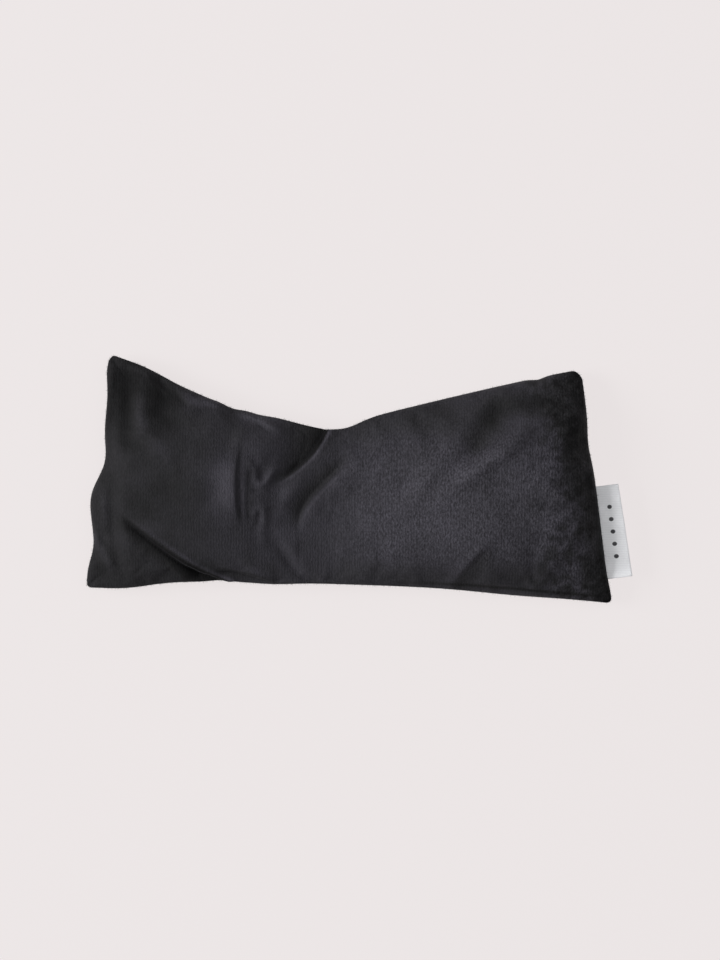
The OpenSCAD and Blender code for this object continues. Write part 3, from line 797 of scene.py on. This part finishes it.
def tuft_strength(x, y):
    """How much single tufts stand out: most on the full right lobe, where the pile is brushed up."""
    up = smooth((x + 25) / 45) * (1 - 0.7 * smooth((y - 8) / 22)) * (1 - 0.8 * smooth((-34 - y) / 8))
    return 0.34 + 0.5 * up + 0.6 * smooth((x - 80) / 14)


def cover_front():
    sheet = sewn_sheet("cover_front", front, ROLL, FRONT_TUCK, FRONT_T)
    return brush_and_paint_pile(with_fuzz(sheet, front, 3600, 61), folded=True)


def back_panel(name, grid, roll, thickness):
    """A back panel. The smaller its roll, the further its lip has to reach."""
    lip = LIP + ROLL - roll
    return brush_and_paint_pile(sewn_sheet(name, grid, roll, BACK_TUCK, thickness, back=True, lip=lip))


def pouch_panel(name, top):
    """One side of the pouch, gathered a little along its seam."""
    u, v = grid_uv(even_u(-1, 1, 1.4), 74)
    points = layer(u, v, POUCH_IN, POUCH_DEPTH, top)
    gather = 0.3 * lattice_noise(points[..., 0], points[..., 1], 3.4, 31)
    rim = bell(np.maximum(np.abs(u), np.abs(v)) - 0.95, 0.06)
    points[..., 2] += gather * rim
    return sewn_sheet(name, points, EDGE_ROLL, POUCH_TUCK, POUCH_T, back=not top)


def seed_fill():
    """The loose seed: one closed heap in two lobes, with whole seeds bedded all over its skin."""
    u, v = grid_uv(even_u(-1, 1, 2.4), 42)
    top, bottom = (layer(u, v, FILL_IN, FILL_DEPTH, face) for face in (True, False))
    rows, cols = u.shape
    faces, loop, n = grid_faces(rows, cols), border(rows, cols), rows * cols
    rim = np.stack([loop, n + loop, n + np.roll(loop, -1), np.roll(loop, -1)], 1)
    points = np.concatenate([top.reshape(-1, 3), bottom.reshape(-1, 3)])
    faces = np.concatenate([faces, n + faces[:, ::-1], rim])
    seeds, seed_faces = bedded_seeds(points, n, cols)
    points, faces = np.concatenate([points, seeds]), np.concatenate([faces, len(points) + seed_faces])
    return new_mesh("seed_fill", points, faces)


# Half a seed's length and width, a little over half its thickness, and how many lie on the skin
SEED, SEEDS = (2.3, 1.15, 0.55), 2600


def bedded_seeds(points, n, cols):
    """Flat pointed seeds, each a small closed solid half sunk in the heap's skin."""
    rng = np.random.default_rng(41)
    turns = np.linspace(0, 2 * np.pi, 8, endpoint=False)
    ring = np.stack([np.cos(turns), np.sin(turns) * (1 - 0.25 * np.cos(turns)), 0 * turns], 1)
    shape = np.concatenate([ring, 0.6 * ring + [0, 0, 0.8], 0.6 * ring - [0, 0, 0.8]]) * SEED
    k = np.arange(8)
    m = np.roll(k, -1)
    sides = np.concatenate([np.stack([k, m, m + 8, k + 8], 1), np.stack([m, k, k + 16, m + 16], 1)])
    caps = [[8, 9, 10, 11], [8, 11, 12, 15], [12, 13, 14, 15],
            [19, 18, 17, 16], [23, 20, 19, 16], [23, 22, 21, 20]]
    faces = np.concatenate([sides, caps])
    inner = np.arange(2 * n).reshape(2, -1, cols)[:, 2:-2, 2:-2]
    chosen = rng.choice(inner.reshape(-1), SEEDS)
    spin = rng.uniform(0, 2 * np.pi, SEEDS)
    tilt = rng.uniform(-0.25, 0.25, (SEEDS, 2))
    c, s = np.cos(spin)[:, None], np.sin(spin)[:, None]
    x, y = shape[:, 0] * c - shape[:, 1] * s, shape[:, 0] * s + shape[:, 1] * c
    z = shape[:, 2] + x * tilt[:, :1] + y * tilt[:, 1:]
    shift = np.concatenate([rng.uniform(-1, 1, (SEEDS, 1, 2)), np.zeros((SEEDS, 1, 1))], -1)
    solids = np.stack([x, y, z], -1) + (points[chosen][:, None] + shift)
    return solids.reshape(-1, 3), (faces[None] + 24 * np.arange(SEEDS)[:, None, None]).reshape(-1, 4)


# ---------------------------------------------------------------- thread
def stitches(name, path, pitch, length, radius):
    """A line of stitches along a path, each a small rounded bead of twisted thread."""
    run = np.concatenate([[0], np.cumsum(np.linalg.norm(np.diff(path, axis=0), axis=1))])

    def at(s):
        return np.array([np.interp(s, run, path[:, i]) for i in range(3)])

    sides = 6
    angles = np.linspace(0, 2 * np.pi, sides, endpoint=False)
    swell = [0.35, 0.9, 1.0, 1.0, 0.9, 0.35]
    points, faces = [], []
    for start in np.arange(pitch / 2, run[-1] - length, pitch):
        first = len(points)
        for i, share in enumerate(np.linspace(0, 1, len(swell))):
            middle = at(start + share * length)
            ahead = at(start + share * length + 0.2) - at(start + share * length - 0.2)
            ahead /= np.linalg.norm(ahead)
            across = np.cross(ahead, [0, 0, 1])
            across /= np.linalg.norm(across)
            up = np.cross(across, ahead)
            for a in angles:
                points.append(middle + radius * swell[i] * (math.cos(a) * across + math.sin(a) * up))
            if i:
                low = first + (i - 1) * sides
                faces += [(low + j, low + (j + 1) % sides, low + sides + (j + 1) % sides, low + sides + j)
                          for j in range(sides)]
        last = len(points) - sides
        faces += [tuple(first + j for j in range(sides))[::-1], tuple(last + j for j in range(sides))]
    return new_mesh(name, points, faces)


def rim_path(e):
    """The seam line, e in from the outline, all the way round and back to its start."""
    t = np.linspace(-1, 1, 160, endpoint=False)
    one = np.ones(len(t))
    u = np.concatenate([t, one, -t, -one])
    v = np.concatenate([-one, t, one, -t])
    qu, qv = drawn_in(u, v, e)
    path = np.concatenate([pushed(place(qu, qv)), seam_height(qu, qv)[:, None]], 1)
    return np.concatenate([path, path[:1]])


def across_path(x, lift):
    """A line straight across the back at x, raised by lift."""
    v = np.linspace(-0.93, 0.93, 120)
    points = back_surface(np.full_like(v, u_at(x)), v)
    points[:, 2] += lift
    return points


# ---------------------------------------------------------------- label
def side_label():
    """A satin ribbon folded double: its two ends are sewn in, and its fold is the outer edge."""
    along = -LABEL_AXIS
    out = np.cross(along, [0, 0, 1])
    root = LABEL_HINGE - HINGE_OUT * out
    fold_r = 0.5
    reach = np.linspace(-LABEL_TAIL, LABEL_OUT - fold_r, 26)
    bend = np.radians(np.linspace(80, -80, 7))
    upper = [(s, RIBBON_GAP) for s in reach]
    turn = [(LABEL_OUT - fold_r + fold_r * math.cos(a), RIBBON_GAP * math.sin(a)) for a in bend]
    profile = upper + turn + [(s, -RIBBON_GAP) for s in reach[::-1]]
    steps = np.linspace(-LABEL_L / 2, LABEL_L / 2, 71)
    grid = np.empty((len(profile), len(steps), 3))
    for i, (s, h) in enumerate(profile):
        shown = max(0, s) / LABEL_OUT
        # The layers part a little as they leave the seam, and the free end curls
        part = 1 + 0.8 * math.sin(math.pi * min(1, shown)) if s > 0 else 0.6
        for k, y in enumerate(steps):
            curl = 0.9 * shown**2 * math.sin(0.11 * (y + 9)) + 0.25 * shown * math.sin(0.5 * y)
            skew = shown * (1.2 - 1.3 * y / LABEL_L)
            grid[i, k] = root + out * (s + skew) + along * y + np.array([0, 0, h * part + curl])
    rows, cols = grid.shape[:2]
    obj = new_mesh("label_ribbon", grid.reshape(-1, 3), grid_faces(rows, cols)[:, ::-1])
    # Where each point lies on the ribbon, in millimetres, for the woven dots
    ribbon = obj.data.attributes.new("ribbon", "FLOAT_VECTOR", "POINT")
    s, h = np.array(profile).T
    laid = np.stack([np.repeat(s, cols), np.tile(steps, rows), np.repeat(h, cols)], 1)
    ribbon.data.foreach_set("vector", laid.ravel())
    return thicken(obj, RIBBON_T)


# ---------------------------------------------------------------- materials
def set_inputs(node, **values):
    """Sets plain numbers and colours. Names have _ for a space."""
    for key, value in values.items():
        socket = node.inputs[key.replace("_", " ")]
        socket.default_value = (*value, 1) if isinstance(value, tuple) else value


class Nodes:
    """A material's node tree, with short ways to add and link nodes."""

    def __init__(self, name):
        self.material = bpy.data.materials.new(name)
        self.material.use_nodes = True
        self.tree = self.material.node_tree
        self.shader = self.tree.nodes["Principled BSDF"]

    def add(self, kind, **settings):
        node = self.tree.nodes.new(kind)
        for key, value in settings.items():
            setattr(node, key, value)
        return node

    def link(self, a, b):
        self.tree.links.new(a, b)

    def place_in(self, scale):
        """Object coordinates, stretched by a factor or three factors."""
        coords = self.add("ShaderNodeTexCoord")
        mapping = self.add("ShaderNodeMapping")
        mapping.inputs["Scale"].default_value = scale if isinstance(scale, tuple) else (scale,) * 3
        self.link(coords.outputs["Object"], mapping.inputs["Vector"])
        return mapping.outputs["Vector"]

    def noise(self, scale, detail=2.0, roughness=0.5, stretch=1.0):
        node = self.add("ShaderNodeTexNoise")
        set_inputs(node, Scale=scale, Detail=detail, Roughness=roughness)
        self.link(self.place_in(stretch), node.inputs["Vector"])
        return node.outputs["Fac"]

    def wave(self, direction, scale, **more):
        """Bands that follow each other in one direction."""
        node = self.add("ShaderNodeTexWave", wave_type="BANDS", bands_direction=direction)
        set_inputs(node, Scale=scale, **more)
        self.link(self.place_in(1.0), node.inputs["Vector"])
        return node.outputs["Fac"]

    def ramp(self, fac, stops):
        """Colours along a factor. A plain number stands for a grey."""
        node = self.add("ShaderNodeValToRGB")
        elements = node.color_ramp.elements
        while len(elements) < len(stops):
            elements.new(0.5)
        for element, (position, color) in zip(elements, stops):
            element.position = position
            element.color = (*color, 1) if isinstance(color, tuple) else (color, color, color, 1)
        self.link(fac, node.inputs["Fac"])
        return node.outputs["Color"]

    def bump(self, height, strength, distance, normal=None):
        node = self.add("ShaderNodeBump")
        set_inputs(node, Strength=strength, Distance=distance)
        self.link(height, node.inputs["Height"])
        if normal is not None:
            self.link(normal, node.inputs["Normal"])
        return node.outputs["Normal"]

    def mixed(self, fac, a, b, blend="MIX"):
        node = self.add("ShaderNodeMix", data_type="RGBA", blend_type=blend)
        for value, name in ((fac, "Factor"), (a, "A"), (b, "B")):
            socket = next(s for s in node.inputs if s.name == name and s.enabled)
            if isinstance(value, (int, float)):
                socket.default_value = value
            elif isinstance(value, tuple):
                socket.default_value = (*value, 1)
            else:
                self.link(value, socket)
        return next(s for s in node.outputs if s.name == "Result" and s.enabled)

    def times(self, a, b):
        return self.mixed(1.0, a, b, "MULTIPLY")

    def calc(self, operation, a, b=0):
        node = self.add("ShaderNodeMath", operation=operation)
        for socket, value in zip(node.inputs, (a, b)):
            if isinstance(value, (int, float)):
                socket.default_value = value
            else:
                self.link(value, socket)
        return node.outputs["Value"]

    def finish(self, colour, normal, **values):
        """Links the colour and the normal to the shader, and sets its other inputs."""
        self.link(colour, self.shader.inputs["Base Color"])
        self.link(normal, self.shader.inputs["Normal"])
        set_inputs(self.shader, **values)
        return self.material


def plush_material():
    """Short black plush: dark pile in fine wales, with a soft sheen, brushed patches, a grain of tufts, and
    the painted highlights and painted shade stored on the mesh.
    """
    n = Nodes("plush_black")
    nap_and_painted_light, tuft = (n.add("ShaderNodeAttribute", attribute_name=name).outputs["Fac"] for name in ("nap_and_painted_light", "tuft"))
    patches = n.noise(45, 3, 0.55, (1.0, 1.5, 1.0))
    tufts = n.noise(1150, 2, 0.7, (1.0, 0.6, 1.0))
    grain = n.noise(2600, 1, 0.5)
    wales = n.wave("X", 250, Distortion=5, Detail=1, Detail_Scale=2.5)
    brushed = n.ramp(patches, [(0.32, (0.0260, 0.0255, 0.0272)), (0.68, (0.0315, 0.0307, 0.0335))])
    speckle = n.ramp(tufts, [(0.34, 0.52), (0.66, (1.5, 1.5, 1.52))])
    ribs = n.ramp(wales, [(0.1, 0.84), (0.9, 1.14)])
    texture = n.mixed(tuft, (1.0, 1.0, 1.0), n.times(speckle, ribs))
    # The lighter the nap and its painted light, the more violet the pile looks
    tint = n.ramp(nap_and_painted_light, [(0.45, (1.0, 1.0, 0.98)), (1.0, (1.0, 0.97, 1.07))])
    # The stored nap brings in the painted highlights and painted shade
    pile_and_painted_light = n.times(n.times(n.times(brushed, texture), tint), nap_and_painted_light)
    normal = n.bump(tufts, 0.4, 0.0004)
    normal = n.bump(wales, 0.3, 0.0003, normal)
    normal = n.bump(grain, 0.4, 0.0003, normal)
    return n.finish(pile_and_painted_light, normal, Roughness=0.75, Specular_IOR_Level=0.06, Sheen_Weight=0.05,
                    Sheen_Roughness=0.35, Sheen_Tint=(0.34, 0.33, 0.38))


def thread_material(name, colour):
    """Twisted thread: fine slanting plies, with a painted highlight on their crowns."""
    n = Nodes(name)
    plies = n.wave("DIAGONAL", 900, Distortion=1.5)
    # The plies' crowns are painted lighter: a painted highlight
    dark, light = (tuple(share * c for c in colour) for share in (0.6, 1.3))
    return n.finish(n.ramp(plies, [(0.2, dark), (0.8, light)]), n.bump(plies, 0.6, 0.00012),
                    Roughness=0.55, Sheen_Weight=0.2)


def woven(n, scale, balance=1.0):
    """Height of a plain weave: threads along and across that pass over and under each other."""
    threads = [n.wave(direction, scale * factor, Distortion=0.6, Detail_Scale=2.0)
               for direction, factor in (("X", 1.0), ("Y", balance))]
    return n.calc("MAXIMUM", *threads)


def calico_material():
    """Unbleached cotton: a plain weave with slubs and flecks of husk."""
    n = Nodes("pouch_calico")
    weave = woven(n, 420)
    slubs = n.noise(240, 3, 0.6, (1.0, 0.15, 1.0))
    flecks = n.noise(700, 1, 0.5)
    cloth = n.ramp(slubs, [(0.3, (0.52, 0.45, 0.33)), (0.7, (0.70, 0.63, 0.49))])
    dots = n.ramp(flecks, [(0.24, (0.55, 0.45, 0.32)), (0.3, 1)])
    return n.finish(n.times(cloth, dots), n.bump(weave, 0.5, 0.0002), Roughness=0.9, Sheen_Weight=0.1)


def seed_material():
    """Flax seed: glossy browns that differ from seed to seed."""
    n = Nodes("flax_seed")
    lots = n.noise(330, 1, 0.5)
    mottle = n.noise(1500, 2, 0.5)
    browns = n.ramp(lots, [(0.3, (0.12, 0.045, 0.016)), (0.5, (0.25, 0.10, 0.035)),
                           (0.7, (0.38, 0.19, 0.07))])
    spots = n.ramp(mottle, [(0.3, (0.1, 0.04, 0.02)), (0.7, (0.4, 0.2, 0.08))])
    return n.finish(n.mixed(0.25, browns, spots), n.bump(mottle, 0.2, 0.0001),
                    Roughness=0.32, Coat_Weight=0.2)


def label_material():
    """Pale grey satin ribbon: fine ribs along its length, and a plain row of dots woven in dark thread."""
    n = Nodes("label_satin")
    weave = woven(n, 900, 0.45)
    cloud = n.noise(60, 2, 0.5)
    tone = n.ramp(cloud, [(0.3, (0.78, 0.785, 0.81)), (0.7, (0.88, 0.885, 0.91))])
    satin = n.times(tone, n.ramp(weave, [(0.2, 0.88), (0.9, 1.03)]))
    ribbon = n.add("ShaderNodeSeparateXYZ")
    n.link(n.add("ShaderNodeAttribute", attribute_name="ribbon").outputs["Vector"], ribbon.inputs[0])

    # Five dots, evenly spaced along the ribbon's middle line
    pitch, middle, radius = 5.6, 4.6, 1.0
    along = n.calc("WRAP", ribbon.outputs["Y"], pitch / 2)
    along.node.inputs[2].default_value = -pitch / 2
    out = n.calc("SUBTRACT", ribbon.outputs["X"], middle)
    far = n.calc("SQRT", n.calc("ADD", n.calc("MULTIPLY", along, along), n.calc("MULTIPLY", out, out)))
    past_row = n.calc("GREATER_THAN", n.calc("ABSOLUTE", ribbon.outputs["Y"]), 2.5 * pitch)
    dots = n.ramp(n.calc("ADD", far, past_row), [(radius * 0.9, (0.03, 0.03, 0.035)), (radius, 1)])
    return n.finish(n.times(satin, dots), n.bump(weave, 0.35, 0.00012),
                    Roughness=0.42, Anisotropic=0.4, Sheen_Weight=0.15)


def finish_piece(obj, material, nodes, body=None):
    """Gives a piece its finish and its body. With no body its place is baked into its mesh."""
    obj.data.materials.append(material)
    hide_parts(*nodes)
    if body:
        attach(obj, body)
    else:
        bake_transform(obj)


def halves(node):
    """The two CAD nodes of a piece that crosses the fold."""
    return [node + "_left", node + "_right"]


plush = plush_material()
black_thread = thread_material("thread_black", (0.012, 0.012, 0.014))
cream_thread = thread_material("thread_cream", (0.62, 0.56, 0.44))
calico = calico_material()

finish_piece(cover_front(), plush, halves("cover_front"))
finish_piece(back_panel("cover_back_inner", inner_panel, ROLL, INNER_T), plush,
             halves("cover_back_inner"))
finish_piece(back_panel("cover_back_outer_panel", outer_panel, OUTER_ROLL, OUTER_T), plush,
             ["cover_back_outer"], "right_half")
finish_piece(stitches("cover_seam_thread", rim_path(THREAD_IN), *SEAM_STITCH), black_thread,
             halves("cover_seam_thread"))
for hem, hem_x, hem_lift in (("outer", HEM_X + HEM_W, 0.25), ("inner", INNER_END_X - HEM_W, RISE + 0.2)):
    finish_piece(stitches(hem + "_hem_stitches", across_path(hem_x, hem_lift), *HEM_STITCH),
                 black_thread, [hem + "_hem_thread"], "right_half")
for side, is_front in (("pouch_front", True), ("pouch_back", False)):
    finish_piece(pouch_panel(side, is_front), calico, halves(side))
finish_piece(stitches("pouch_seam_thread", rim_path(POUCH_IN + POUCH_THREAD_IN), *POUCH_STITCH),
             cream_thread, halves("pouch_seam_thread"))
finish_piece(seed_fill(), seed_material(), halves("seed_fill"))

label = side_label()
label.data.materials.append(label_material())
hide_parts("label_tail", "side_label")
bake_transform(label)


# ---------------------------------------------------------------- studio
def studio():
    scene = bpy.context.scene
    scene.view_settings.view_transform = "Standard"
    floor_mesh = bpy.data.meshes.new("floor")
    reach = 6.0
    floor_mesh.from_pydata([(-reach, -reach, 0), (reach, -reach, 0), (reach, reach, 0),
                            (-reach, reach, 0)], [], [(0, 1, 2, 3)])
    floor = bpy.data.objects.new("floor", floor_mesh)
    scene.collection.objects.link(floor)
    n = Nodes("floor_paper")
    set_inputs(n.shader, Base_Color=(0.06, 0.06, 0.06), Roughness=1.0, Specular_IOR_Level=0.0,
               Emission_Color=(1.0, 0.94, 0.94), Emission_Strength=0.77)
    floor.data.materials.append(n.material)

    world = bpy.data.worlds.new("soft_sky")
    world.use_nodes = True
    world.node_tree.nodes["Background"].inputs["Color"].default_value = (1, 1, 1, 1)
    world.node_tree.nodes["Background"].inputs["Strength"].default_value = 0.3
    scene.world = world

    def softbox(name, location, size, power):
        lamp = bpy.data.lights.new(name, "AREA")
        lamp.size, lamp.energy = size, power
        obj = bpy.data.objects.new(name, lamp)
        obj.location = location
        direction = -obj.location
        obj.rotation_euler = direction.to_track_quat("-Z", "Y").to_euler()
        scene.collection.objects.link(obj)

    softbox("key_softbox", (-1.9, 0.1, 1.25), 1.1, 62)
    softbox("fill_softbox", (0.6, 0.5, 2.2), 1.8, 16)

    # The camera looks straight down. Its frame is 432 mm high at the seam's height.
    camera = bpy.data.cameras.new("camera")
    camera.sensor_fit = "VERTICAL"
    camera.sensor_height = 36
    distance, frame_h = 1.6, 0.432
    camera.lens = camera.sensor_height * (distance - SEAM_Z * MM) / frame_h
    camera_obj = bpy.data.objects.new("camera", camera)
    camera_obj.location = (0.0009, -0.0004, distance)
    scene.collection.objects.link(camera_obj)
    scene.camera = camera_obj


studio()
